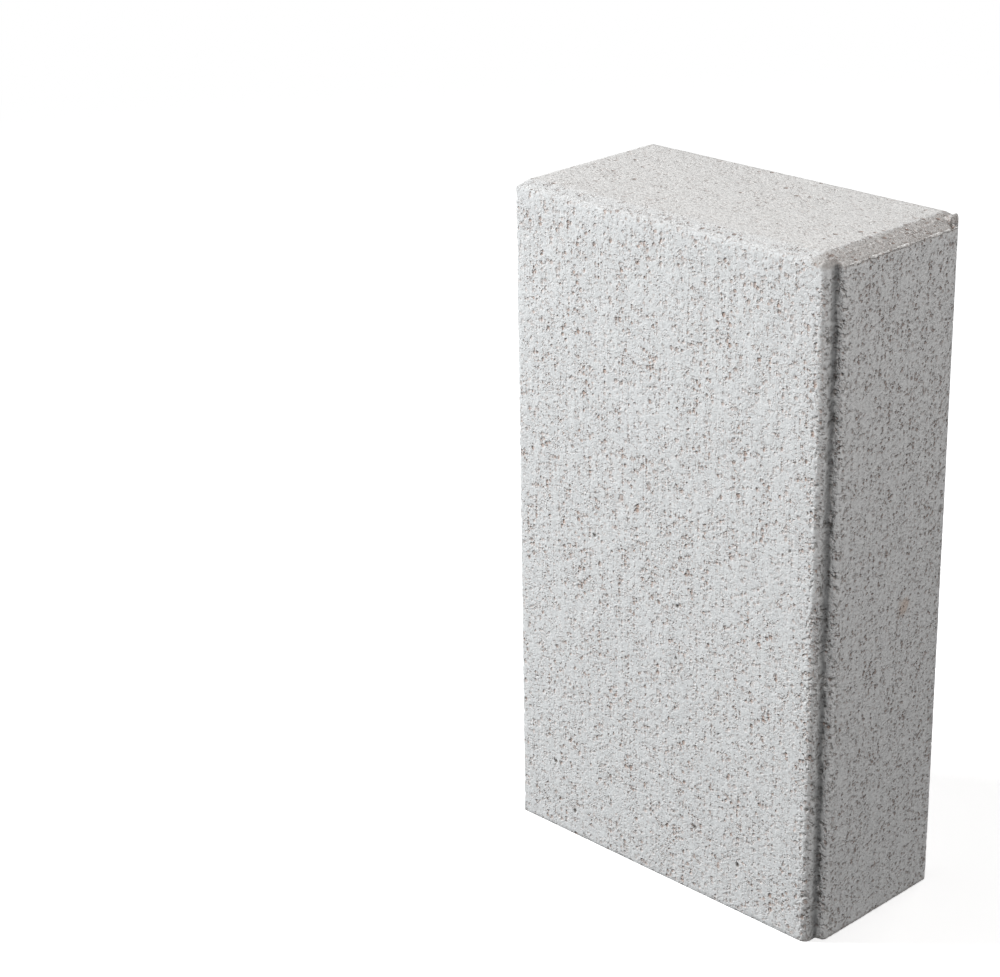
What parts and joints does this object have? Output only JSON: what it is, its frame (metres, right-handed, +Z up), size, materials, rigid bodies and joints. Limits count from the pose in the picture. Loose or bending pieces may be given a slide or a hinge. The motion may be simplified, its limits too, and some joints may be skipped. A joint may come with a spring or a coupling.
{
  "type": "concrete edging block",
  "caption": "Upright rectangular concrete edging block with a shallow spacer down one end that leaves a groove against the next block.",
  "frame": {"origin": "middle of the footprint, on the ground", "axes": "+X along the row towards the spacer end, +Y from the front face to the back face, +Z up"},
  "size_m": [0.2, 0.1, 0.35],
  "materials": {
    "concrete": "pale grey pressed concrete, fine grained and open pored, with upright mould marks"
  },
  "bodies": {
    "root": {"edging_block": "concrete"}
  },
  "joints": []
}
